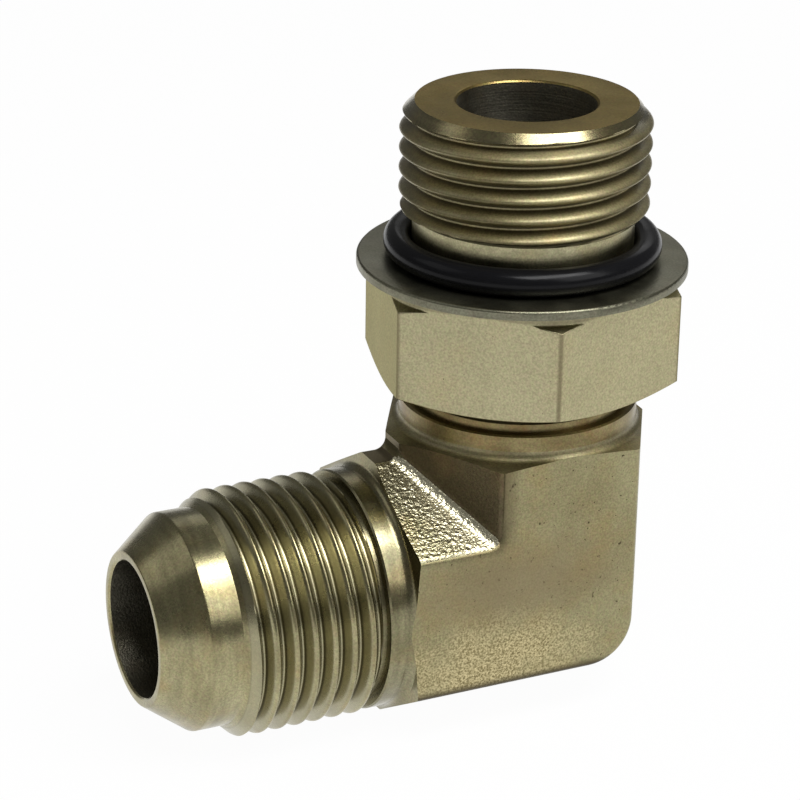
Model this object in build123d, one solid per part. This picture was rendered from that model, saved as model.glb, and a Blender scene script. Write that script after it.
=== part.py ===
from build123d import *
import math
import os

# A right-angle hydraulic adapter in plated steel: a 37 degree flared tube end on one leg, and an
# adjustable O-ring stud with its lock nut and backup washer on the other.
# The axes of the two legs cross at the origin. The stud leg points up along +Z, the flared leg
# along -X, and the wrench flats of the forging face -Y and +Y. Sizes are in millimetres.

# Threads and passage, the same on both ends (7/8-14 UNF on a 5/8 inch tube fitting)
thread_diameter = 22.225
thread_pitch = 25.4 / 14
thread_flank_angle = 30
thread_depth_share = 17 / 24
bore_diameter = 12.3
drill_point_angle = 118
thread_lead_angle = 45

# Forged elbow: one six-sided section for both legs, cut off at the die's parting line
flat_width = 22.0
inner_edge = 7.0
outer_edge = 6.6
inner_slope_angle = 30
outer_slope_angle = 31
inner_land_width = 2.95
outer_land_width = 6.85
forged_edge_radius = 0.7
heel_radius = 4.0
crotch_radius = 1.2

# Turned shoulder and collar where each leg leaves the forging; each shoulder rises clear of the
# ridge that the other leg's inner slopes make
stud_collar_diameter = 21.5
flare_collar_diameter = 21.9
shoulder_angle = 10
shoulder_fillet = 0.8
collar_length = 2.3
stud_shoulder_rise = 1.9
flare_shoulder_rise = 2.6

# Flared tube end, measured along its leg from the origin
flare_reach = 37.4
flare_half_angle = 37
flare_nose_diameter = 13.9
flare_seat_diameter = 19.6
flare_neck_length = 2.9

# O-ring stud, measured up its leg from the origin
stud_height = 43.9
stud_face_diameter = 19.6
undercut_diameter = 19.7
undercut_below_washer = 2.1
undercut_above_washer = 3.9
undercut_wall_angle = 30
rear_relief_length = 0.7
bore_edge_chamfer = 0.18

# Lock nut: a hexagon with a turned land under the washer
nut_wall_at_flats = 1.59
nut_bottom = 18.75
nut_top = 29.0
nut_corner_angle = 16.15
nut_chamfer_angle = 20
nut_land_overhang = 0.85
nut_land_height = 0.95
nut_foot_setback = 0.4
nut_thread_clearance = 0.05
nut_mouth_chamfer = 0.5

# Backup washer and O-ring (2.46 mm section)
washer_ring_width = 4.65
washer_thickness = 0.8
washer_bore_clearance = 0.25
washer_edge_radius = 0.25
oring_section = 2.46
oring_clearance = 0.05
oring_seat_gap = 0.02

thread_radius = thread_diameter / 2
sharp_thread_depth = thread_pitch / 2 / math.tan(math.radians(thread_flank_angle))
thread_root_radius = thread_radius - thread_depth_share * sharp_thread_depth
bore_radius = bore_diameter / 2
undercut_radius = undercut_diameter / 2
half_flat = flat_width / 2
heel_centre = outer_edge - heel_radius
inner_ridge = inner_edge + math.tan(math.radians(inner_slope_angle)) * (half_flat - inner_land_width / 2)
stud_shoulder_height = inner_ridge + stud_shoulder_rise
flare_shoulder_reach = inner_ridge + flare_shoulder_rise
stud_collar_height = stud_shoulder_height + collar_length
flare_collar_reach = flare_shoulder_reach + collar_length
half_nut_width = thread_radius + nut_wall_at_flats
washer_top = nut_top + washer_thickness
undercut_bottom = nut_top - undercut_below_washer
undercut_top = washer_top + undercut_above_washer
touching = 0.001

# Plane that mirrors one leg of the elbow onto the other
mitre_plane = Plane(origin=(0, 0, 0), z_dir=(1, 0, 1))


def rise(run, angle):
    """Height gained over a horizontal run at an angle in degrees."""
    return run * math.tan(math.radians(angle))


def half_profile(points):
    """Closed face in the XZ plane from (radius, height) points."""
    return make_face(Polyline(*[(r, 0, h) for r, h in points], close=True))


def rounded(face, spots, radius):
    """The face with its corners nearest to the (x, y, z) spots rounded off."""
    corners = [face.vertices().sort_by_distance(spot)[0] for spot in spots]
    return fillet(corners, radius)


def forged_section():
    """Section of a leg, looking down on the stud leg: its inner side faces -X.

    The two corners beside the inner slopes stay sharp here: they are rounded after the crotch."""
    inner_half_land = inner_land_width / 2
    outer_half_land = outer_land_width / 2
    outer_ridge = outer_edge + rise(half_flat - outer_half_land, outer_slope_angle)
    near_side = [
        (-inner_ridge, -inner_half_land),
        (-inner_edge, -half_flat),
        (outer_edge, -half_flat),
        (outer_ridge, -outer_half_land),
    ]
    far_side = [(x, -y) for x, y in reversed(near_side)]
    outline = make_face(Polyline(*near_side, *far_side, close=True))
    sharp = [(-inner_edge, -half_flat, 0), (-inner_edge, half_flat, 0)]
    corners = [
        vertex
        for vertex in outline.vertices()
        if min((Vector(spot) - Vector(*vertex)).length for spot in sharp) > forged_edge_radius
    ]
    return fillet(corners, forged_edge_radius)


def turned_envelope(shoulder, collar_end, collar_radius):
    """Everything that the lathe leaves of a leg: a coned shoulder, a fillet and a collar."""
    reach = 2 * flat_width
    profile = half_profile([
        (0, -reach),
        (reach, -reach),
        (reach, shoulder - rise(reach - collar_radius, shoulder_angle)),
        (collar_radius, shoulder),
        (collar_radius, collar_end),
        (0, collar_end),
    ])
    profile = rounded(profile, [(collar_radius, 0, shoulder)], shoulder_fillet)
    return revolve(profile, Axis.Z)


def forged_leg(shoulder, collar_end, collar_diameter):
    """One leg of the forging with its turned shoulder, standing along +Z."""
    start = Pos(0, 0, -heel_centre) * forged_section()
    blank = extrude(start, collar_end + heel_centre)
    return blank & turned_envelope(shoulder, collar_end, collar_diameter / 2)


def forged_heel():
    """Outer corner of the elbow: the outer half of the section, turned through a right angle."""
    outer_side = Pos(heel_centre + flat_width, 0) * Rectangle(2 * flat_width, 2 * flat_width)
    outer_half = forged_section() & outer_side
    turning_axis = Axis((heel_centre, 0, -heel_centre), (0, 1, 0))
    return revolve(Pos(0, 0, -heel_centre) * outer_half, turning_axis, 90)


def edges_where(solid, test):
    """Edges whose two ends and middle all pass a test on the point."""
    return [edge for edge in solid.edges() if all(test(edge @ along) for along in (0, 0.5, 1))]


def in_crotch(point):
    """True on the inner half of the mitre plane."""
    return abs(point.X + point.Z) < touching and point.Z > 0


def beside_inner_slope(point):
    """True where a wrench flat ends at the inner slopes of the legs."""
    on_flat = abs(abs(point.Y) - half_flat) < touching
    return on_flat and point.X < touching - inner_edge and point.Z > inner_edge - touching


def forged_elbow():
    """The whole forging: two mitred legs, the heel, and a fillet down the crotch between them."""
    stud_leg = forged_leg(stud_shoulder_height, stud_collar_height, stud_collar_diameter)
    flare_leg = forged_leg(flare_shoulder_reach, flare_collar_reach, flare_collar_diameter)
    flare_leg = mirror(flare_leg, about=mitre_plane)
    elbow = stud_leg + flare_leg + forged_heel()
    elbow = fillet(edges_where(elbow, in_crotch), crotch_radius)
    return fillet(edges_where(elbow, beside_inner_slope), forged_edge_radius)


def flared_end():
    """Threaded leg with its 37 degree cone, turned along -X."""
    seat_radius = flare_seat_diameter / 2
    nose_radius = flare_nose_diameter / 2
    cone_start = flare_reach - (seat_radius - nose_radius) / math.tan(math.radians(flare_half_angle))
    thread_end = cone_start - flare_neck_length
    profile = half_profile([
        (0, 0),
        (thread_root_radius, 0),
        (thread_root_radius, flare_collar_reach),
        (thread_radius, flare_collar_reach),
        (thread_radius, thread_end - rise(thread_radius - seat_radius, thread_lead_angle)),
        (seat_radius, thread_end),
        (seat_radius, cone_start),
        (nose_radius, flare_reach),
        (0, flare_reach),
    ])
    return mirror(revolve(profile, Axis.Z), about=mitre_plane)


def oring_stud():
    """Adjustable stud: rear thread for the nut, undercut for the seal, front thread."""
    face_radius = stud_face_diameter / 2
    rear_thread_start = stud_collar_height + rear_relief_length
    lead_in = rise(thread_radius - thread_root_radius, thread_lead_angle)
    undercut_slant = rise(thread_radius - undercut_radius, undercut_wall_angle)
    profile = half_profile([
        (0, 0),
        (thread_root_radius, 0),
        (thread_root_radius, rear_thread_start),
        (thread_radius, rear_thread_start + lead_in),
        (thread_radius, undercut_bottom - undercut_slant),
        (undercut_radius, undercut_bottom),
        (undercut_radius, undercut_top),
        (thread_radius, undercut_top + undercut_slant),
        (thread_radius, stud_height - rise(thread_radius - face_radius, thread_lead_angle)),
        (face_radius, stud_height),
        (0, stud_height),
    ])
    return revolve(profile, Axis.Z)


def drilled_passage(reach):
    """Drill standing on +Z: it runs past the other passage's axis and ends in its point."""
    point_length = bore_radius / math.tan(math.radians(drill_point_angle / 2))
    profile = half_profile([
        (0, -heel_centre - point_length),
        (bore_radius, -heel_centre),
        (bore_radius, reach - bore_edge_chamfer),
        (bore_radius + 2 * bore_edge_chamfer, reach + bore_edge_chamfer),
        (0, reach + bore_edge_chamfer),
    ])
    return revolve(profile, Axis.Z)


def elbow_body():
    """The one-piece body: forged elbow, turned ends, and two drilled passages that meet."""
    body = forged_elbow() + flared_end() + oring_stud()
    body -= drilled_passage(stud_height)
    body -= mirror(drilled_passage(flare_reach), about=mitre_plane)
    return body


def lock_nut():
    """Hexagon nut with turned chamfers at both ends and a round land under the washer."""
    hexagon = RegularPolygon(half_nut_width, 6, major_radius=False, rotation=nut_corner_angle)
    prism = extrude(Pos(0, 0, nut_bottom) * hexagon, nut_top - nut_bottom)
    reach = 2 * half_nut_width
    foot_radius = half_nut_width - nut_foot_setback
    land_radius = half_nut_width + nut_land_overhang
    land_bottom = nut_top - nut_land_height
    turned = revolve(half_profile([
        (0, nut_bottom),
        (foot_radius, nut_bottom),
        (reach, nut_bottom + rise(reach - foot_radius, nut_chamfer_angle)),
        (reach, land_bottom - rise(reach - land_radius, nut_chamfer_angle)),
        (land_radius, land_bottom),
        (land_radius, nut_top),
        (0, nut_top),
    ]), Axis.Z)
    tap_radius = thread_radius + nut_thread_clearance
    mouth_radius = tap_radius + nut_mouth_chamfer
    threaded_hole = revolve(half_profile([
        (0, nut_bottom),
        (mouth_radius, nut_bottom),
        (tap_radius, nut_bottom + nut_mouth_chamfer),
        (tap_radius, nut_top - nut_mouth_chamfer),
        (mouth_radius, nut_top),
        (0, nut_top),
    ]), Axis.Z)
    return prism & turned - threaded_hole


def backup_washer():
    """Flat washer that the nut pushes up against the O-ring, loose on the undercut."""
    inner = undercut_radius + washer_bore_clearance
    outer = inner + washer_ring_width
    profile = half_profile([
        (inner, nut_top),
        (outer, nut_top),
        (outer, washer_top),
        (inner, washer_top),
    ])
    profile = rounded(profile, [(outer, 0, washer_top)], washer_edge_radius)
    return revolve(profile, Axis.Z)


def o_ring():
    """O-ring seated on the washer round the undercut."""
    tube_radius = oring_section / 2
    ring_radius = undercut_radius + oring_clearance + tube_radius
    return Pos(0, 0, washer_top + oring_seat_gap + tube_radius) * Torus(ring_radius, tube_radius)


pieces = {
    "elbow_body": elbow_body(),
    "lock_nut": lock_nut(),
    "backup_washer": backup_washer(),
    "o_ring": o_ring(),
}

os.makedirs("parts", exist_ok=True)
for name, piece in pieces.items():
    export_step(piece, "parts/" + name + ".step")
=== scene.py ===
import math
import bmesh
import bpy
from mathutils import Matrix, Vector


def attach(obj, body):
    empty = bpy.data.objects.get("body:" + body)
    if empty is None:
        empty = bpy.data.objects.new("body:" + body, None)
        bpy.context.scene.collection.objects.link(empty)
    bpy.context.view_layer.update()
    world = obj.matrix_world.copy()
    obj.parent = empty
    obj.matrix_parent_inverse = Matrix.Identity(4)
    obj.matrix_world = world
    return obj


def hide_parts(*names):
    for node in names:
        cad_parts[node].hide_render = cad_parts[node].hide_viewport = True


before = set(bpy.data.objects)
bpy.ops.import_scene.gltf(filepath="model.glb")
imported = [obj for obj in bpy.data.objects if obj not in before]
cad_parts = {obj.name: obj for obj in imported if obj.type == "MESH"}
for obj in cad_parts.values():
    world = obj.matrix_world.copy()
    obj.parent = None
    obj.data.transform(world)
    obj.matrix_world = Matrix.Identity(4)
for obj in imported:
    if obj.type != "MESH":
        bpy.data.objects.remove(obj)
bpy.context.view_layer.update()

# The forged block of the body: a right-angle steel forging with six-sided legs and a round heel, zinc
# plated with an olive cast. Its slopes keep the pitted skin of the die, its flats are smoother, and the
# lathe has cut the coned shoulder and the collar at the foot of each leg.
mm = 0.001
stud_foot = 15.25 * mm
flare_foot = 15.95 * mm
bore_radius = 6.15 * mm
stud_collar_radius = 10.75 * mm
flare_collar_radius = 10.95 * mm
stud_shoulder = 14.3993 * mm
flare_shoulder = 15.0993 * mm
shoulder_lean = math.radians(10)
shoulder_depth = 1.6 * mm
shoulder_fillet = 0.8 * mm
bore_reach = bore_radius + 0.1 * mm
bore_depth = 10 * mm
weld_within = 0.001 * mm
cut_within = 1e-7
collar_slack = 0.03 * mm
sharp_beyond = math.radians(28)

olive_steel = (0.36, 0.33, 0.185)
brown_steel = (0.29, 0.255, 0.135)
warm_stain = (0.34, 0.275, 0.13)
# Dark specks of the skin, also the colour of painted shade at the bottom of the flats
dark_speck_and_shade = (0.07, 0.055, 0.03)


def node(tree, kind, **settings):
    """A node of a kind in a material tree, with some of its settings."""
    made = tree.nodes.new(kind)
    for name, value in settings.items():
        setattr(made, name, value)
    return made


def feed(tree, socket, value):
    """Gives an input socket a link, or a number or colour of its own."""
    if isinstance(value, bpy.types.NodeSocket):
        tree.links.new(value, socket)
    elif isinstance(value, tuple) and len(value) == 3 and socket.type == "RGBA":
        socket.default_value = (*value, 1)
    else:
        socket.default_value = value


def noise(tree, place, scale, detail=3.0, roughness=0.55):
    """Noise at so many cells to the metre, from about 0 to 1."""
    made = node(tree, "ShaderNodeTexNoise")
    feed(tree, made.inputs["Vector"], place)
    made.inputs["Scale"].default_value = scale
    made.inputs["Detail"].default_value = detail
    made.inputs["Roughness"].default_value = roughness
    return made.outputs["Fac"]


def spread(tree, value, low, high, to_low=0.0, to_high=1.0, course="LINEAR"):
    """A value between low and high, moved to another range and held inside it."""
    made = node(tree, "ShaderNodeMapRange", interpolation_type=course)
    names = ("Value", "From Min", "From Max", "To Min", "To Max")
    for name, given in zip(names, (value, low, high, to_low, to_high)):
        feed(tree, made.inputs[name], given)
    return made.outputs["Result"]


def blend_colours(tree, share, first, second):
    """A colour between two colours."""
    made = node(tree, "ShaderNodeMix", data_type="RGBA")
    feed(tree, made.inputs["Factor"], share)
    feed(tree, made.inputs["A"], first)
    feed(tree, made.inputs["B"], second)
    return made.outputs["Result"]


def relief(tree, height, depth, under=None):
    """Shading normals of a height map, its full height given in metres."""
    made = node(tree, "ShaderNodeBump")
    made.inputs["Distance"].default_value = depth
    feed(tree, made.inputs["Height"], height)
    if under is not None:
        feed(tree, made.inputs["Normal"], under)
    return made.outputs["Normal"]


def new_finish(name):
    """An empty material: its tree, its shader and the place on the piece."""
    finish = bpy.data.materials.new(name)
    finish.use_nodes = True
    tree = finish.node_tree
    place = node(tree, "ShaderNodeTexCoord").outputs["Object"]
    return finish, tree, tree.nodes["Principled BSDF"], place


def opened(finish):
    """A finish taken up again: its tree, its shader and the place on the piece."""
    tree = finish.node_tree
    return tree, tree.nodes["Principled BSDF"], node(tree, "ShaderNodeTexCoord").outputs["Object"]


def painted_over(tree, shader, share, colour):
    """Lays a colour over a finish where a share says so."""
    base = shader.inputs["Base Color"]
    feed(tree, base, blend_colours(tree, share, base.links[0].from_socket, colour))


def shifted(tree, place, by):
    """The place on the piece, moved so that a second noise doesn't repeat the first."""
    made = node(tree, "ShaderNodeVectorMath", operation="ADD")
    feed(tree, made.inputs[0], place)
    made.inputs[1].default_value = (by, by * 1.7, by * 2.3)
    return made.outputs["Vector"]


def calculated(tree, operation, *values):
    """What an operation makes of numbers and other values."""
    made = node(tree, "ShaderNodeMath", operation=operation)
    for socket, value in zip(made.inputs, values):
        feed(tree, socket, value)
    return made.outputs["Value"]


def added(tree, value, more):
    """A value and a number or another value, added."""
    return calculated(tree, "ADD", value, more)


def scaled(tree, value, factor):
    """A value times a number or another value."""
    return calculated(tree, "MULTIPLY", value, factor)


def parts_of(tree, place):
    """The X, Y and Z of a place."""
    made = node(tree, "ShaderNodeSeparateXYZ")
    feed(tree, made.inputs["Vector"], place)
    return made.outputs


def joined(tree, x, y, z=0.0):
    """A place from its X, Y and Z."""
    made = node(tree, "ShaderNodeCombineXYZ")
    for socket, value in zip(made.inputs, (x, y, z)):
        feed(tree, socket, value)
    return made.outputs["Vector"]


def length_of(tree, place):
    """How far a place is from the middle."""
    made = node(tree, "ShaderNodeVectorMath", operation="LENGTH")
    feed(tree, made.inputs[0], place)
    return made.outputs["Value"]


def toned(tree, colour, value):
    """The node that makes a colour lighter or darker by a factor."""
    made = node(tree, "ShaderNodeHueSaturation")
    feed(tree, made.inputs["Color"], colour)
    feed(tree, made.inputs["Value"], value)
    return made


def mottled(tree, place, pale, deep, warm, cloud_scale=150):
    """Plating tones: wide clouds from a pale to a deep colour, warm stains, and a fine two-tone mottle."""
    mottle_scale = 5200
    mottle_strength = 0.16
    tint_scale = 3900
    clouds = spread(tree, noise(tree, place, cloud_scale), 0.32, 0.68)
    colour = blend_colours(tree, clouds, pale, deep)
    stains = noise(tree, shifted(tree, place, 0.31), cloud_scale * 1.7)
    colour = blend_colours(tree, spread(tree, stains, 0.5, 0.75, 0.0, 0.8), colour, warm)
    mottle = noise(tree, place, mottle_scale, 2.0)
    mottle = spread(tree, mottle, 0.35, 0.65, -mottle_strength, mottle_strength)
    lit = toned(tree, colour, added(tree, mottle, 1.0))
    tint = noise(tree, shifted(tree, place, 0.17), tint_scale, 1.0)
    feed(tree, lit.inputs["Hue"], spread(tree, tint, 0.35, 0.65, 0.485, 0.515))
    return lit.outputs["Color"]


def near_spot(tree, place, middle, reach, ragged):
    """1 in the middle of an ellipsoid, 0 outside it, with a ragged rim."""
    rim_scale = 420
    away = node(tree, "ShaderNodeVectorMath", operation="SUBTRACT")
    feed(tree, away.inputs[0], place)
    away.inputs[1].default_value = middle
    shrunk = node(tree, "ShaderNodeVectorMath", operation="DIVIDE")
    feed(tree, shrunk.inputs[0], away.outputs["Vector"])
    shrunk.inputs[1].default_value = reach
    distance = length_of(tree, shrunk.outputs["Vector"])
    rim = scaled(tree, added(tree, noise(tree, place, rim_scale, 4.0), -0.5), ragged)
    return spread(tree, added(tree, distance, rim), 0.4, 1.05, 1.0, 0.0)


# What marks the flats, and the light and shade painted on them, as places, reaches and (from, to) bands on
# the block
# The sandy patch: a rougher grain, with a painted pool of light in its pale tone
sandy_lit_steel = (0.78, 0.67, 0.38)
sandy_shadow = (0.27, 0.22, 0.1)
sandy_lit_middle = (-7.5 * mm, 0, -4.4 * mm)
sandy_lit_reach = (11 * mm, 40 * mm, 5.6 * mm)
sandy_lit_share = 0.9
worm_scale = 5200
brown_stain = (0.25, 0.195, 0.11)
brown_middle = (-5 * mm, 0, 3.2 * mm)
brown_reach = (13 * mm, 40 * mm, 5 * mm)
brown_share = 0.6
# Painted shade: the side flats darker towards the bottom
bottom_shade_heights = (-6.45 * mm, -5.85 * mm)
bottom_shade_sides = (10.2 * mm, 10.4 * mm)
bottom_shade_share = 0.92
# Brown of the stud leg's slopes, painted shade there and at the flats' inner edge
slope_shade_brown = (0.15, 0.122, 0.07)
shade_across = (-5.2 * mm, -7.1 * mm)
shade_heights = (7 * mm, 9 * mm)
shade_share = 0.9
inner_edge = -5.0 * mm
edge_ease = 2.1 * mm
edge_lean = 1.2
edge_heights = (6 * mm, 10 * mm)


def soft_inner_edge(tree, parts):
    """Height map, in metres, of the flats falling away towards the inner slope of the stud leg."""
    into = spread(tree, parts["X"], inner_edge, inner_edge - edge_ease, 0.0, edge_ease)
    fall = scaled(tree, scaled(tree, into, into), -0.5 * edge_lean / edge_ease)
    return scaled(tree, fall, spread(tree, parts["Z"], *edge_heights, course="SMOOTHSTEP"))


def flats_marks_and_painted_light(tree, place, colour, skin, patch_depth):
    """The flats' marks and painted light: a sandy grain under a painted pool of light, a brown stain, painted
    shade along the bottom, and painted shade at the inner edge.
    """
    # A sandy grain, with a painted pool of light in its pale tone
    sandy_and_lit = near_spot(tree, place, sandy_lit_middle, sandy_lit_reach, 0.9)
    worms = noise(tree, place, worm_scale, 2.0, 0.5)
    sand = blend_colours(tree, spread(tree, worms, 0.36, 0.64), sandy_shadow, sandy_lit_steel)
    colour = blend_colours(tree, scaled(tree, sandy_and_lit, sandy_lit_share), colour, sand)
    stain = near_spot(tree, place, brown_middle, brown_reach, 0.5)
    colour = blend_colours(tree, scaled(tree, stain, brown_share), colour, brown_stain)
    parts = parts_of(tree, place)
    side = calculated(tree, "ABSOLUTE", parts["Y"])
    # Painted shade, darker towards the bottom of the side flats
    bottom_shade = spread(tree, parts["Z"], *bottom_shade_heights, bottom_shade_share, 0.0)
    colour = blend_colours(tree, scaled(tree, bottom_shade, spread(tree, side, *bottom_shade_sides)), colour, dark_speck_and_shade)
    # Painted shade towards the inner slope of the stud leg
    shade = spread(tree, parts["X"], *shade_across, 0.0, shade_share)
    shade = scaled(tree, shade, spread(tree, parts["Z"], *shade_heights))
    colour = blend_colours(tree, shade, colour, slope_shade_brown)
    skin = relief(tree, scaled(tree, worms, sandy_and_lit), patch_depth, skin)
    return colour, relief(tree, soft_inner_edge(tree, parts), 1.0, skin)


def forged_finish(
    name, pale, deep, warm, grain_size, grain_depth, dull,
    patch_depth=0.0, rare=0.67, octaves=3.0, fine_share=0.3
):
    """Plated forging skin: mottled tones, dark specks, an orange-peel grain, and the flats' marks, painted
    light and painted shade if any.
    """
    finish, tree, shader, place = new_finish(name)
    speck_scale = 2600
    speck_edge = 0.07
    colour = mottled(tree, place, pale, deep, warm)
    specks = spread(tree, noise(tree, place, speck_scale, 2.0), rare, rare + speck_edge)
    colour = blend_colours(tree, specks, colour, dark_speck_and_shade)
    grain = noise(tree, place, 1 / grain_size, octaves, 0.6)
    fine = noise(tree, place, 4 / grain_size, 2.0)
    skin = relief(tree, fine, grain_depth * fine_share)
    skin = relief(tree, grain, grain_depth, skin)
    if patch_depth:
        colour, skin = flats_marks_and_painted_light(tree, place, colour, skin, patch_depth)
    shader.inputs["Metallic"].default_value = 1.0
    feed(tree, shader.inputs["Base Color"], colour)
    feed(tree, shader.inputs["Roughness"], spread(tree, fine, 0.3, 0.7, dull - 0.08, dull + 0.08))
    feed(tree, shader.inputs["Normal"], skin)
    return finish


# The tones inside a thread, by (from, to) radii: greyer flanks, and painted shadow low in the groove
thread_shadow = (0.05, 0.042, 0.028)
shadow_share = 0.65
shadow_start = (9.98 * mm, 10.06 * mm)
shadow_fades_from = 10.1 * mm
flank_olive = (0.37, 0.35, 0.235)
flank_end = (10.85 * mm, 11.05 * mm)
thread_end_ease = 0.1 * mm


def thread_tones(tree, colour, radius, height, thread, flank_share):
    """Plating in one thread of (low, high, shadow top): greyer flanks, and painted shadow low in the groove.
    """
    low, high, shadow_top = thread
    within = spread(tree, height, low, low + thread_end_ease)
    within = scaled(tree, within, spread(tree, height, high - thread_end_ease, high, 1.0, 0.0))
    deep_in = spread(tree, radius, *shadow_start)
    deep_in = scaled(tree, deep_in, spread(tree, radius, shadow_fades_from, shadow_top, 1.0, 0.0))
    flank = scaled(tree, spread(tree, radius, *flank_end, 1.0, 0.0), flank_share)
    colour = blend_colours(tree, scaled(tree, within, flank), colour, flank_olive)
    # Painted shadow low in the groove
    dark = scaled(tree, scaled(tree, within, deep_in), shadow_share)
    return blend_colours(tree, dark, colour, thread_shadow)


def turned_finish(
    name, pale, deep, warm, axis, dull, mark_depth=0.004 * mm,
    threads=(), flank_share=0.0, coat=0.0, bright_beyond=1.0
):
    """Plated turned steel: fine rings from the tool round one axis, under streaky thin plating."""
    finish, tree, shader, place = new_finish(name)
    cloud_scale = 210
    mark_scale = 5200
    parts = parts_of(tree, place)
    along = parts[axis]
    across = [parts[other] for other in "XYZ" if other != axis]
    radius = length_of(tree, joined(tree, *across))
    height = calculated(tree, "ABSOLUTE", along)
    marks = noise(tree, joined(tree, radius, along), mark_scale, 2.0)

    # Streaks: noise that is drawn out round the axis
    drawn_out = 0.12
    streak_scale = 1500
    streak_strength = 0.14
    drawn = joined(tree, *(scaled(tree, one, drawn_out) for one in across), along)
    streaks = noise(tree, drawn, streak_scale, 3.0)
    streaks = spread(tree, streaks, 0.35, 0.65, -streak_strength, streak_strength)
    colour = mottled(tree, place, pale, deep, warm, cloud_scale)
    colour = toned(tree, colour, added(tree, streaks, 1.0)).outputs["Color"]
    for thread in threads:
        colour = thread_tones(tree, colour, radius, height, thread, flank_share)
    feed(tree, shader.inputs["Base Color"], colour)
    shader.inputs["Metallic"].default_value = 1.0
    shader.inputs["Coat Weight"].default_value = coat
    shader.inputs["Coat Roughness"].default_value = 0.22

    # Satin in patches, and rubbed bright beyond a height
    satin_scale = 420
    rubbed_share = 0.45
    rubbed_ease = 0.3 * mm
    satin = spread(tree, noise(tree, place, satin_scale), 0.3, 0.7, dull - 0.05, dull + 0.07)
    rubbed = spread(tree, height, bright_beyond, bright_beyond + rubbed_ease, 1.0, rubbed_share)
    feed(tree, shader.inputs["Roughness"], scaled(tree, satin, rubbed))
    grain_scale = 4200
    skin = relief(tree, noise(tree, place, grain_scale, 2.0), mark_depth * 0.8)
    feed(tree, shader.inputs["Normal"], relief(tree, marks, mark_depth, skin))
    return finish


def copy_of_solid(name):
    """A mesh copy of one CAD node, welded, for shaping further."""
    shape = bmesh.new()
    shape.from_mesh(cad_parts[name].data)
    bmesh.ops.remove_doubles(shape, verts=shape.verts, dist=weld_within)
    return shape


def cut_off(shape, point, direction):
    """Removes what lies beyond a plane and closes the cut."""
    parts = shape.verts[:] + shape.edges[:] + shape.faces[:]
    cut = bmesh.ops.bisect_plane(
        shape, geom=parts, dist=cut_within, plane_co=point, plane_no=direction, clear_outer=True
    )
    rim = [part for part in cut["geom_cut"] if isinstance(part, bmesh.types.BMEdge)]
    bmesh.ops.triangle_fill(shape, edges=rim, use_beauty=True, use_dissolve=False)


def finished_piece(name, shape, body, finishes):
    """A smooth object from a bmesh, riding on its body, its sharp edges kept."""
    mesh = bpy.data.meshes.new(name)
    shape.to_mesh(mesh)
    shape.free()
    piece = bpy.data.objects.new(name, mesh)
    bpy.context.scene.collection.objects.link(piece)
    mesh.shade_smooth()
    mesh.set_sharp_from_angle(angle=sharp_beyond)
    for finish in finishes:
        mesh.materials.append(finish)
    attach(piece, body)
    return piece


def stud_side(point):
    """The legs of the block: radius and height of a point on the stud leg, and its outward direction."""
    radius = math.hypot(point.x, point.y)
    outward = Vector((point.x, point.y, 0)) / radius
    return radius, point.z, outward, Vector((0, 0, 1)), stud_collar_radius, stud_shoulder


def flare_side(point):
    """The same for a point on the flare leg."""
    radius = math.hypot(point.y, point.z)
    outward = Vector((0, point.y, point.z)) / radius
    return radius, -point.x, outward, Vector((-1, 0, 0)), flare_collar_radius, flare_shoulder


def lathe_cut(centre, normal, side):
    """Whether a face of the block belongs to the collar, its fillet or the coned shoulder of a leg."""
    radius, height, _, along, collar_radius, shoulder = side(centre)
    on_collar = radius < collar_radius + collar_slack
    return height > shoulder - shoulder_depth and (normal.dot(along) > 0.15 or on_collar)


def lathe_normal(point, side):
    """The exact normal of the collar, its fillet or the shoulder at a point."""
    radius, height, outward, along, collar_radius, shoulder = side(point)
    lean_in = math.sin(shoulder_lean)
    lean_up = math.cos(shoulder_lean)
    middle_radius = collar_radius + shoulder_fillet
    middle_height = shoulder + shoulder_fillet * (1 / lean_up - math.tan(shoulder_lean))
    if radius > middle_radius - shoulder_fillet * lean_in:
        return outward * lean_in + along * lean_up
    if height > middle_height:
        return outward
    return (outward * (middle_radius - radius) + along * (middle_height - height)).normalized()


# The places of the block's finishes, in the order that the block is given them
flats, slopes, stud_cut, bores, flare_cut, slopes_in_shade = range(6)


def skin_of_block(centre, normal):
    """Which of the block's finishes a face takes, from where it is and how it faces."""
    in_stud_bore = math.hypot(centre.x, centre.y) < bore_reach and centre.z > -bore_depth
    in_flare_bore = math.hypot(centre.y, centre.z) < bore_reach and centre.x < bore_depth
    leaning = 0.2 < abs(normal.y) < 0.93
    if in_stud_bore or in_flare_bore:
        return bores
    if lathe_cut(centre, normal, stud_side):
        return stud_cut
    if lathe_cut(centre, normal, flare_side):
        return flare_cut
    if leaning and normal.z > 0.3 and centre.x < 0:
        return slopes
    if leaning and normal.x < -0.3 and centre.z > shade_heights[0]:
        return slopes_in_shade
    return flats


def settle_normals(piece):
    """Exact normals on what the lathe cut, and elsewhere each face's own, eased only over small angles."""
    mesh = piece.data
    touching = [[] for _ in mesh.vertices]
    for face in mesh.polygons:
        for corner in face.vertices:
            touching[corner].append(face)
    normals = []
    for face in mesh.polygons:
        for corner in face.vertices:
            point = mesh.vertices[corner].co
            if face.material_index in (stud_cut, flare_cut):
                side = stud_side if face.material_index == stud_cut else flare_side
                normals.append(lathe_normal(point, side))
                continue
            eased_normal = Vector()
            for other in touching[corner]:
                if other.normal.dot(face.normal) > math.cos(sharp_beyond):
                    eased_normal += other.normal * other.area
            normals.append(eased_normal.normalized())
    mesh.normals_split_custom_set(normals)


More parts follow.
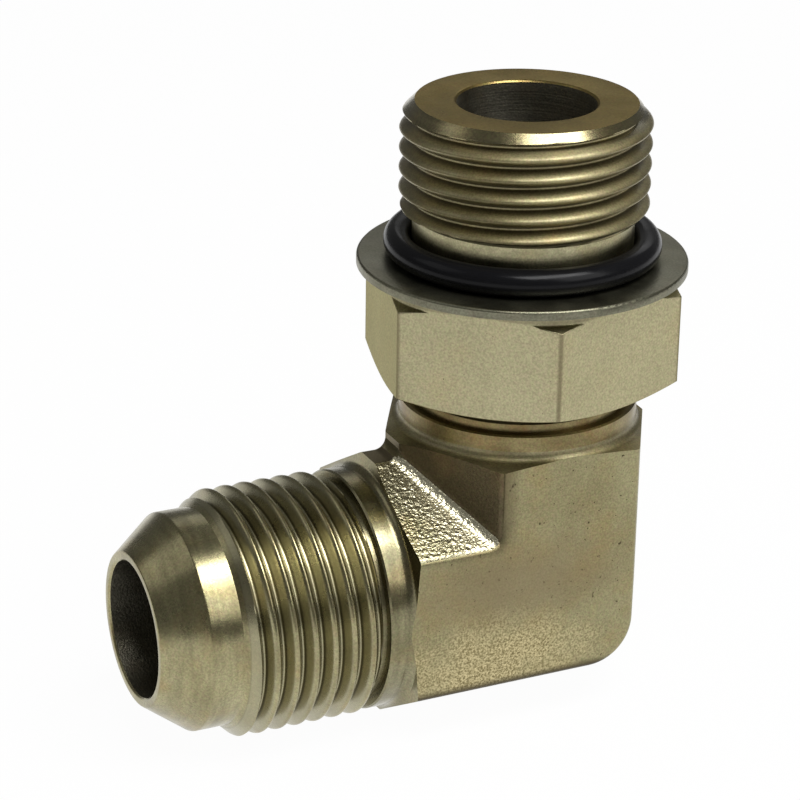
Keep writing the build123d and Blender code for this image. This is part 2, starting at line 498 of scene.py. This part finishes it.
block_shape = copy_of_solid("elbow_body")
cut_off(block_shape, (0, 0, stud_foot), (0, 0, 1))
cut_off(block_shape, (-flare_foot, 0, 0), (-1, 0, 0))
bmesh.ops.recalc_face_normals(block_shape, faces=block_shape.faces)
for face in block_shape.faces:
    face.material_index = skin_of_block(face.calc_center_median(), face.normal)
forged_flats = forged_finish(
    "forged_flats", olive_steel, brown_steel, warm_stain, 0.35 * mm, 0.012 * mm, 0.42, patch_depth=0.13 * mm
)

# The slopes of the flare leg, with a painted highlight towards the mitre with the stud leg
slope_pale = (0.46, 0.43, 0.29)
slope_deep = (0.33, 0.305, 0.19)
# A painted highlight on the slopes, brightest towards the mitre
highlight_steel = (0.85, 0.8, 0.58)
highlight_band = (-4.5 * mm, -0.3 * mm)
highlight_share = 0.85
forged_slopes = forged_finish(
    "forged_slopes", slope_pale, slope_deep, warm_stain, 0.38 * mm, 0.11 * mm, 0.28,
    octaves=1.6, fine_share=0.05
)
slope_tree, slope_shader, slope_place = opened(forged_slopes)
slope_parts = parts_of(slope_tree, slope_place)
from_mitre = added(slope_tree, slope_parts["X"], slope_parts["Z"])
# Painted highlight, paler towards the mitre
highlight = spread(slope_tree, from_mitre, *highlight_band, 0.0, highlight_share)
painted_over(slope_tree, slope_shader, highlight, highlight_steel)

# The slopes of the stud leg lie in shade, painted into their dark colours
slope_shade_dark = (0.1, 0.08, 0.045)
slope_stain_in_shade = (0.17, 0.125, 0.065)
shaded_slopes = forged_finish(
    "shaded_slopes", slope_shade_brown, slope_shade_dark, slope_stain_in_shade, 0.3 * mm, 0.03 * mm, 0.42
)

# What the lathe and the drill cut; each thread is given as (low, high, top of its painted shadow)
stud_pale = (0.31, 0.275, 0.15)
stud_deep = (0.25, 0.215, 0.11)
stud_threads = ((17.4 * mm, 26.9 * mm, 10.6 * mm), (34.0 * mm, 43.3 * mm, 10.6 * mm))
flare_threads = ((17.75 * mm, 30.4 * mm, 10.25 * mm),)
flare_collar_pale = (0.26, 0.24, 0.145)
flare_collar_deep = (0.215, 0.195, 0.11)
flare_collar_stain = (0.25, 0.2, 0.1)
wall_pale = (0.3, 0.28, 0.22)
wall_deep = (0.16, 0.15, 0.11)
wall_stain = (0.2, 0.17, 0.12)
turned_stud = turned_finish(
    "turned_stud_steel", stud_pale, stud_deep, warm_stain, "Z", 0.48,
    threads=stud_threads, coat=0.35, bright_beyond=42.5 * mm
)
turned_flare = turned_finish(
    "turned_flare_steel", olive_steel, brown_steel, warm_stain, "X", 0.27,
    threads=flare_threads, flank_share=0.5, coat=0.2
)
flare_collar_steel = turned_finish(
    "flare_collar_steel", flare_collar_pale, flare_collar_deep, flare_collar_stain, "X", 0.25
)
drilled_wall = turned_finish("drilled_wall", wall_pale, wall_deep, wall_stain, "Z", 0.45, 0.03 * mm)
block = finished_piece(
    "forged_block", block_shape, "elbow",
    [forged_flats, forged_slopes, turned_stud, drilled_wall, flare_collar_steel, shaded_slopes]
)
settle_normals(block)
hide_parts("elbow_body")

# The turned ends of the body, cut from the same steel as the block.
# Each is one lathe profile with its right-hand thread wound into it: a groove of 60 degrees with
# rounded crests and roots, running out into bevelled ends. The stud has two threads and an undercut.
round_steps = 128
pitch = 25.4 / 14 * mm
crest_radius = 11.1125 * mm
root_radius = 9.95 * mm
root_rounding = 0.08 * mm
crest_half_width = 0.09
steps_across = 24
thread_foot_radius = 9.9 * mm
bevel_slope = 1.0
collar_edge = 0.15 * mm
collar_lap = 0.06 * mm
collar_skin = 0.01 * mm


def wound_thread_tree():
    """Winds a strip of thread profile round +Z, held between two end rings."""
    tree = bpy.data.node_groups.new("wound_thread", "GeometryNodeTree")
    lengths = (
        "Crest Radius", "Root Radius", "Pitch", "Low End", "High End", "Low Radius", "High Radius",
        "Low Slope", "High Slope", "Crest Height", "Crest Rounding", "Root Rounding",
    )
    for name in lengths:
        tree.interface.new_socket(name, in_out="INPUT", socket_type="NodeSocketFloat")
    for name in ("Turns", "Steps Round", "Steps Across"):
        tree.interface.new_socket(name, in_out="INPUT", socket_type="NodeSocketInt")
    tree.interface.new_socket("Finish", in_out="INPUT", socket_type="NodeSocketMaterial")
    tree.interface.new_socket("Thread", in_out="OUTPUT", socket_type="NodeSocketGeometry")
    given = node(tree, "NodeGroupInput").outputs

    def calc(operation, *values):
        return calculated(tree, operation, *values)

    grid = node(tree, "GeometryNodeMeshGrid")
    feed(tree, grid.inputs["Size X"], 1.0)
    feed(tree, grid.inputs["Size Y"], 1.0)
    steps_along = calc("MULTIPLY", given["Turns"], given["Steps Round"])
    feed(tree, grid.inputs["Vertices X"], calc("ADD", steps_along, 1.0))
    feed(tree, grid.inputs["Vertices Y"], calc("ADD", given["Steps Across"], 1.0))
    parts = parts_of(tree, node(tree, "GeometryNodeInputPosition").outputs["Position"])
    turn = calc("MULTIPLY", calc("ADD", parts["X"], 0.5), given["Turns"])
    across = calc("ADD", parts["Y"], 0.5)

    # How far the strip is shifted so that a crest passes the wanted height at angle 0
    above_low_end = calc("SUBTRACT", given["Crest Height"], given["Low End"])
    shift = calc("FRACT", calc("SUBTRACT", 0.5, calc("DIVIDE", above_low_end, given["Pitch"])))
    steps_up = calc("SUBTRACT", calc("SUBTRACT", calc("ADD", turn, across), 1.0), shift)
    height = calc("MULTIPLY_ADD", steps_up, given["Pitch"], given["Low End"])
    height = calc("MINIMUM", calc("MAXIMUM", height, given["Low End"]), given["High End"])

    # The 60 degree profile: a straight flank, rounded into the crest and into the root
    from_crest = calc("MULTIPLY", calc("ABSOLUTE", calc("SUBTRACT", across, 0.5)), given["Pitch"])
    flat = calc("MULTIPLY", given["Pitch"], crest_half_width)
    drop = calc("MULTIPLY", calc("SUBTRACT", from_crest, flat), math.sqrt(3))
    flank = calc("SUBTRACT", given["Crest Radius"], drop)
    radius = calc("SMOOTH_MIN", flank, given["Crest Radius"], given["Crest Rounding"])
    radius = calc("SMOOTH_MAX", radius, given["Root Radius"], given["Root Rounding"])

    # The bevelled ends cut the thread off
    above = calc("SUBTRACT", height, given["Low End"])
    below = calc("SUBTRACT", given["High End"], height)
    low = calc("MULTIPLY_ADD", above, given["Low Slope"], given["Low Radius"])
    high = calc("MULTIPLY_ADD", below, given["High Slope"], given["High Radius"])
    radius = calc("MINIMUM", radius, calc("MINIMUM", low, high))

    angle = calc("MULTIPLY", turn, math.tau)
    x = calc("MULTIPLY", radius, calc("COSINE", angle))
    y = calc("MULTIPLY", radius, calc("SINE", angle))
    moved = node(tree, "GeometryNodeSetPosition")
    feed(tree, moved.inputs["Geometry"], grid.outputs["Mesh"])
    feed(tree, moved.inputs["Position"], joined(tree, x, y, height))
    welded = node(tree, "GeometryNodeMergeByDistance")
    feed(tree, welded.inputs["Geometry"], moved.outputs["Geometry"])
    feed(tree, welded.inputs["Distance"], 0.0005 * mm)
    whole = node(tree, "GeometryNodeRealizeInstances")
    feed(tree, whole.inputs["Geometry"], welded.outputs["Geometry"])
    coated = node(tree, "GeometryNodeSetMaterial")
    feed(tree, coated.inputs["Geometry"], whole.outputs["Geometry"])
    feed(tree, coated.inputs["Material"], given["Finish"])
    feed(tree, node(tree, "NodeGroupOutput").inputs["Thread"], coated.outputs["Geometry"])
    return tree


wound_thread = wound_thread_tree()


def thread_mesh(sizes, finish):
    """The plain mesh of one thread, standing on +Z."""
    carrier = bpy.data.objects.new("thread_carrier", bpy.data.meshes.new("thread_carrier"))
    bpy.context.scene.collection.objects.link(carrier)
    winding = carrier.modifiers.new("winding", "NODES")
    winding.node_group = wound_thread
    turns = math.ceil((sizes["High End"] - sizes["Low End"]) / pitch) + 2
    values = dict(sizes)
    values.update({
        "Crest Radius": crest_radius, "Root Radius": root_radius, "Pitch": pitch,
        "Root Rounding": root_rounding,
        "Turns": turns, "Steps Round": round_steps, "Steps Across": steps_across, "Finish": finish,
    })
    for item in wound_thread.interface.items_tree:
        if item.in_out == "INPUT":
            winding[item.identifier] = values[item.name]
    depsgraph = bpy.context.evaluated_depsgraph_get()
    mesh = bpy.data.meshes.new_from_object(carrier.evaluated_get(depsgraph))
    bpy.data.objects.remove(carrier)
    return mesh


def eased(corners, radius, steps=4):
    """A lathe profile with each inner corner of its (radius, height) points rounded."""
    points = [corners[0]]
    for before, corner, after in zip(corners, corners[1:], corners[2:]):
        start, middle, end = Vector(before), Vector(corner), Vector(after)
        reach = min(radius, (middle - start).length * 0.45, (end - middle).length * 0.45)
        enter = middle + (start - middle).normalized() * reach
        leave = middle + (end - middle).normalized() * reach
        for step in range(steps + 1):
            share = step / steps
            points.append(tuple(enter.lerp(middle, share).lerp(middle.lerp(leave, share), share)))
    points.append(corners[-1])
    return points


def turn_profile(shape, profile, finish_index):
    """Spins a (radius, height) profile round +Z in the bmesh."""
    rings = []
    for radius, height in profile:
        ring = []
        for step in range(round_steps):
            angle = math.tau * step / round_steps
            ring.append(shape.verts.new((radius * math.cos(angle), radius * math.sin(angle), height)))
        rings.append(ring)
    for lower, upper in zip(rings, rings[1:]):
        for step in range(round_steps):
            following = (step + 1) % round_steps
            face = shape.faces.new((lower[step], lower[following], upper[following], upper[step]))
            face.material_index = finish_index


def turned_leg(profiles, threads, turn_to):
    """One closed turned leg: lathe profiles and threads welded ring to ring, then laid along its leg."""
    shape = bmesh.new()
    for profile, finish_index in profiles:
        turn_profile(shape, profile, finish_index)
    for sizes in threads:
        mesh = thread_mesh(sizes, None)
        shape.from_mesh(mesh)
        bpy.data.meshes.remove(mesh)
    bmesh.ops.remove_doubles(shape, verts=shape.verts, dist=weld_within)
    bmesh.ops.dissolve_degenerate(shape, dist=0.0005 * mm, edges=shape.edges)
    bmesh.ops.recalc_face_normals(shape, faces=shape.faces)
    bmesh.ops.transform(shape, matrix=turn_to, verts=shape.verts)
    return shape


def collar_profile(radius, foot, end, thread_start):
    """The collar at the foot of a leg, a hair over the block's, up to where the thread begins."""
    low = foot - collar_lap
    outer = radius + collar_skin
    return [
        (bore_radius, low), (outer, low), (outer, end - collar_edge), (outer - collar_edge, end),
        (root_radius, end), (thread_foot_radius, thread_start),
    ]


# Stud heights
stud_collar_top = 16.7 * mm
rear_thread_low = 17.4 * mm
undercut_bottom = 26.9 * mm
undercut_top = 33.7 * mm
undercut_radius = 9.85 * mm
stud_face = 43.9 * mm
stud_face_radius = 9.8 * mm
stud_crest_height = 40.59 * mm
stud_crest_rounding = 0.65 * mm
bore_mouth_bevel = 0.18 * mm
undercut_slope = 1 / math.tan(math.radians(30))

rear_thread = {
    "Low End": rear_thread_low, "High End": undercut_bottom,
    "Low Radius": thread_foot_radius, "High Radius": undercut_radius,
    "Low Slope": bevel_slope, "High Slope": undercut_slope,
    "Crest Height": stud_crest_height, "Crest Rounding": stud_crest_rounding,
}
front_thread = {
    "Low End": undercut_top, "High End": stud_face,
    "Low Radius": undercut_radius, "High Radius": stud_face_radius,
    "Low Slope": undercut_slope, "High Slope": bevel_slope,
    "Crest Height": stud_crest_height, "Crest Rounding": stud_crest_rounding,
}


def bore_mouth(face):
    """The two points of the bevel at the mouth of a bore."""
    return [(bore_radius + bore_mouth_bevel, face), (bore_radius, face - bore_mouth_bevel)]


stud_shape = turned_leg(
    [
        (collar_profile(stud_collar_radius, stud_foot, stud_collar_top, rear_thread_low), 3),
        ([(undercut_radius, undercut_bottom), (undercut_radius, undercut_top)], 4),
        (eased([(stud_face_radius, stud_face), *bore_mouth(stud_face)], 0.08 * mm), 2),
        ([bore_mouth(stud_face)[1], (bore_radius, stud_foot - collar_lap)], 1),
    ],
    [rear_thread, front_thread],
    Matrix.Identity(4),
)
face_pale = (0.27, 0.208, 0.078)
face_deep = (0.225, 0.17, 0.06)
face_stain = (0.28, 0.2, 0.07)
face_sheen = (0.85, 0.8, 0.7, 1)
undercut_pale = (0.42, 0.39, 0.24)
undercut_deep = (0.35, 0.32, 0.19)
undercut_stain = (0.38, 0.32, 0.17)
collar_pale = (0.25, 0.205, 0.1)
collar_deep = (0.19, 0.15, 0.068)
collar_stain = (0.24, 0.15, 0.06)
brown_face = turned_finish("brown_face_steel", face_pale, face_deep, face_stain, "Z", 0.32)
brown_face.node_tree.nodes["Principled BSDF"].inputs["Specular Tint"].default_value = face_sheen
undercut_steel = turned_finish("undercut_steel", undercut_pale, undercut_deep, undercut_stain, "Z", 0.33)
brown_collar = turned_finish("brown_collar_steel", collar_pale, collar_deep, collar_stain, "Z", 0.32)
stud_finishes = [turned_stud, drilled_wall, brown_face, brown_collar, undercut_steel]
stud = finished_piece("turned_stud", stud_shape, "elbow", stud_finishes)

# Flared end, along its leg from the crossing of the passages
flare_collar_end = 17.4 * mm
flare_thread_low = 17.75 * mm
flare_low_slope = 1.6
flare_crest_height = 28.585 * mm
flare_crest_rounding = 0.45 * mm
neck_start = 30.718 * mm
cone_start = 33.618 * mm
seat_radius = 9.8 * mm
nose_radius = 6.95 * mm
flare_end = 37.4 * mm
flare_thread = {
    "Low End": flare_thread_low, "High End": neck_start,
    "Low Radius": thread_foot_radius, "High Radius": seat_radius,
    "Low Slope": flare_low_slope, "High Slope": bevel_slope,
    "Crest Height": flare_crest_height, "Crest Rounding": flare_crest_rounding,
}
neck_and_cone = [(seat_radius, neck_start), (seat_radius, cone_start), (nose_radius, flare_end)]
flare_shape = turned_leg(
    [
        (collar_profile(flare_collar_radius, flare_foot, flare_collar_end, flare_thread_low), 2),
        (eased([*neck_and_cone, *bore_mouth(flare_end)], 0.12 * mm), 0),
        ([bore_mouth(flare_end)[1], (bore_radius, flare_foot - collar_lap)], 1),
    ],
    [flare_thread],
    Matrix.Rotation(math.radians(-90), 4, "Y"),
)
flare = finished_piece("turned_flare", flare_shape, "elbow", [turned_flare, drilled_wall, flare_collar_steel])

# The lock nut: a steel hexagon, paler plating than the body, turned at both ends.
# It runs on the rear thread of the stud and carries the washer.
pale_steel = (0.475, 0.435, 0.265)
pale_shadow = (0.425, 0.39, 0.235)
pale_stain = (0.46, 0.4, 0.235)
nut_shape = copy_of_solid("lock_nut")
bmesh.ops.dissolve_limit(
    nut_shape, angle_limit=math.radians(0.5), verts=nut_shape.verts, edges=nut_shape.edges
)
corner_radius = max(math.hypot(vertex.co.x, vertex.co.y) for vertex in nut_shape.verts)
flat_radius = corner_radius * math.cos(math.radians(30))
nut_top = max(vertex.co.z for vertex in nut_shape.verts)
nut_sheen = (0.6, 0.58, 0.45, 1)
turned_end_tone = (0.33, 0.31, 0.19)
turned_end_radii = (flat_radius - 0.12 * mm, flat_radius - 0.04 * mm)
# Painted shadow of the washer over the top of the nut
top_shade_tone = (0.15, 0.13, 0.08)
top_shade_heights = (nut_top - 0.95 * mm, nut_top - 0.75 * mm)
corner_tone = (0.17, 0.14, 0.08)
corner_radii = (corner_radius - 0.17 * mm, corner_radius - 0.05 * mm)
nut_finish = forged_finish(
    "nut_steel", pale_steel, pale_shadow, pale_stain, 0.3 * mm, 0.01 * mm, 0.4, rare=0.72
)
nut_tree, nut_shader, nut_place = opened(nut_finish)
nut_shader.inputs["Specular Tint"].default_value = nut_sheen
nut_parts = parts_of(nut_tree, nut_place)
nut_radius = length_of(nut_tree, joined(nut_tree, nut_parts["X"], nut_parts["Y"]))
turned_end = spread(nut_tree, nut_radius, *turned_end_radii, 0.8, 0.0)
painted_over(nut_tree, nut_shader, turned_end, turned_end_tone)
# Painted shadow of the washer, darker over the top of the nut
top_shade = spread(nut_tree, nut_parts["Z"], *top_shade_heights, 0.0, 0.5)
painted_over(nut_tree, nut_shader, top_shade, top_shade_tone)
corner = spread(nut_tree, nut_radius, *corner_radii, 0.0, 0.7)
painted_over(nut_tree, nut_shader, corner, corner_tone)
nut = finished_piece("hexagon_lock_nut", nut_shape, "nut", [nut_finish])
nut_edges = nut.modifiers.new("worn_edges", "BEVEL")
nut_edges.width = 0.14 * mm
nut_edges.segments = 3
nut_edges.limit_method = "ANGLE"
nut_edges.angle_limit = math.radians(30)
nut_edges.harden_normals = True
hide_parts("lock_nut")

# The backup washer: a thin turned steel ring, loose on the undercut above the nut.
# Its rim is rounded and speckled.
washer_steel = (0.215, 0.21, 0.15)
washer_shadow = (0.19, 0.185, 0.13)
washer_stain = (0.22, 0.2, 0.14)
washer_shape = copy_of_solid("backup_washer")
washer_finish = turned_finish(
    "washer_steel", washer_steel, washer_shadow, washer_stain, "Z", 0.36, 0.008 * mm
)
washer = finished_piece("backup_washer_ring", washer_shape, "washer_stack", [washer_finish])
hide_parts("backup_washer")

# The O-ring: black nitrile rubber, moulded, sitting round the undercut on the washer.
# It is oily, so it shines.
ring_shape = copy_of_solid("o_ring")
rubber, rubber_tree, rubber_shader, rubber_place = new_finish("seal_rubber")
rubber_shader.inputs["Base Color"].default_value = (0.006, 0.006, 0.007, 1)
oil_scale = 500
rubber_grain_scale = 3000
oil = noise(rubber_tree, rubber_place, oil_scale)
rubber_shader.inputs["Specular IOR Level"].default_value = 0.13
feed(rubber_tree, rubber_shader.inputs["Roughness"], spread(rubber_tree, oil, 0.3, 0.7, 0.15, 0.27))
rubber_grain = noise(rubber_tree, rubber_place, rubber_grain_scale)
feed(rubber_tree, rubber_shader.inputs["Normal"], relief(rubber_tree, rubber_grain, 0.004 * mm))
ring = finished_piece("o_ring_seal", ring_shape, "washer_stack", [rubber])
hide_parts("o_ring")

# The studio: a white floor under the heel, a wide soft box high in front, a reflector under it, a long
# lamp low behind, a weak reflector on the left, and a dim room.
floor_height = -11.1515 * mm
floor_reach = 1.5
floor_shape = bmesh.new()
bmesh.ops.create_grid(floor_shape, x_segments=2, y_segments=2, size=floor_reach)
floor_mesh = bpy.data.meshes.new("studio_floor")
floor_shape.to_mesh(floor_mesh)
floor_shape.free()
floor = bpy.data.objects.new("studio_floor", floor_mesh)
floor.location.z = floor_height
bpy.context.scene.collection.objects.link(floor)
paper = bpy.data.materials.new("white_paper")
paper.use_nodes = True
paper_tree = paper.node_tree
paper_shader = paper_tree.nodes["Principled BSDF"]
paper_shader.inputs["Base Color"].default_value = (0.9, 0.9, 0.9, 1)
paper_shader.inputs["Roughness"].default_value = 0.9
seen_share = 0.97
rays = node(paper_tree, "ShaderNodeLightPath").outputs
mirrored = calculated(paper_tree, "MAXIMUM", rays["Is Glossy Ray"], rays["Is Transmission Ray"])
seen = calculated(paper_tree, "MAXIMUM", rays["Is Camera Ray"], mirrored)
white = node(paper_tree, "ShaderNodeEmission")
white.inputs["Strength"].default_value = 1.0
paper_mix = node(paper_tree, "ShaderNodeMixShader")
feed(paper_tree, paper_mix.inputs["Fac"], scaled(paper_tree, seen, seen_share))
feed(paper_tree, paper_mix.inputs[1], paper_shader.outputs["BSDF"])
feed(paper_tree, paper_mix.inputs[2], white.outputs["Emission"])
feed(paper_tree, paper_tree.nodes["Material Output"].inputs["Surface"], paper_mix.outputs["Shader"])
floor_mesh.materials.append(paper)

room_tone = (0.14, 0.14, 0.135, 1)
world = bpy.data.worlds.new("studio_world")
world.use_nodes = True
world.node_tree.nodes["Background"].inputs["Color"].default_value = room_tone
world.node_tree.nodes["Background"].inputs["Strength"].default_value = 1.0
bpy.context.scene.world = world

lamp_distance = 0.6
lit_middle = Vector((-0.01, 0, 0.015))


def soft_lamp(name, direction, width, height, radiance):
    """A rectangular soft box that faces the fitting, with its brightness as seen in a mirror."""
    lamp = bpy.data.lights.new(name, "AREA")
    lamp.shape = "RECTANGLE"
    lamp.size = width
    lamp.size_y = height
    lamp.energy = radiance * math.pi * width * height
    holder = bpy.data.objects.new(name, lamp)
    away = Vector(direction).normalized()
    holder.location = lit_middle + away * lamp_distance
    holder.rotation_euler = away.to_track_quat("Z", "Y").to_euler()
    bpy.context.scene.collection.objects.link(holder)


soft_lamp("key_soft_box", (0.12, -0.39, 0.91), 0.46, 0.22, 9.5)
soft_lamp("front_reflector", (0.4, -0.68, 0.61), 0.38, 0.36, 2.2)
soft_lamp("back_light", (0.528, 0.675, 0.515), 0.42, 0.17, 0.75)
soft_lamp("left_reflector", (-0.673, 0.314, 0.669), 0.36, 0.28, 0.55)

# The camera stands where the photograph was taken from, near enough for the fitting's perspective,
# behind a long lens, and is rolled by about a degree.
camera_data = bpy.data.cameras.new("camera")
camera_data.lens = 130.37
camera_data.sensor_width = 36
camera_data.clip_start = 0.01
camera = bpy.data.objects.new("camera", camera_data)
camera_azimuth = math.radians(-25.517)
camera_height = math.radians(22.652)
camera_roll = math.radians(0.907)
camera_distance = 257.262
aim = Vector((-11.784, 0, 17.585)) * mm
back = Vector((
    math.sin(camera_azimuth) * math.cos(camera_height),
    -math.cos(camera_azimuth) * math.cos(camera_height),
    math.sin(camera_height),
))
level_right = (-back).cross(Vector((0, 0, 1))).normalized()
level_up = level_right.cross(-back)
right = math.cos(camera_roll) * level_right + math.sin(camera_roll) * level_up
up = math.cos(camera_roll) * level_up - math.sin(camera_roll) * level_right
turned = Matrix((right, up, back)).transposed().to_4x4()
camera.matrix_world = Matrix.Translation(aim + back * camera_distance * mm) @ turned
bpy.context.scene.collection.objects.link(camera)
bpy.context.scene.camera = camera
bpy.context.scene.view_settings.view_transform = "Standard"
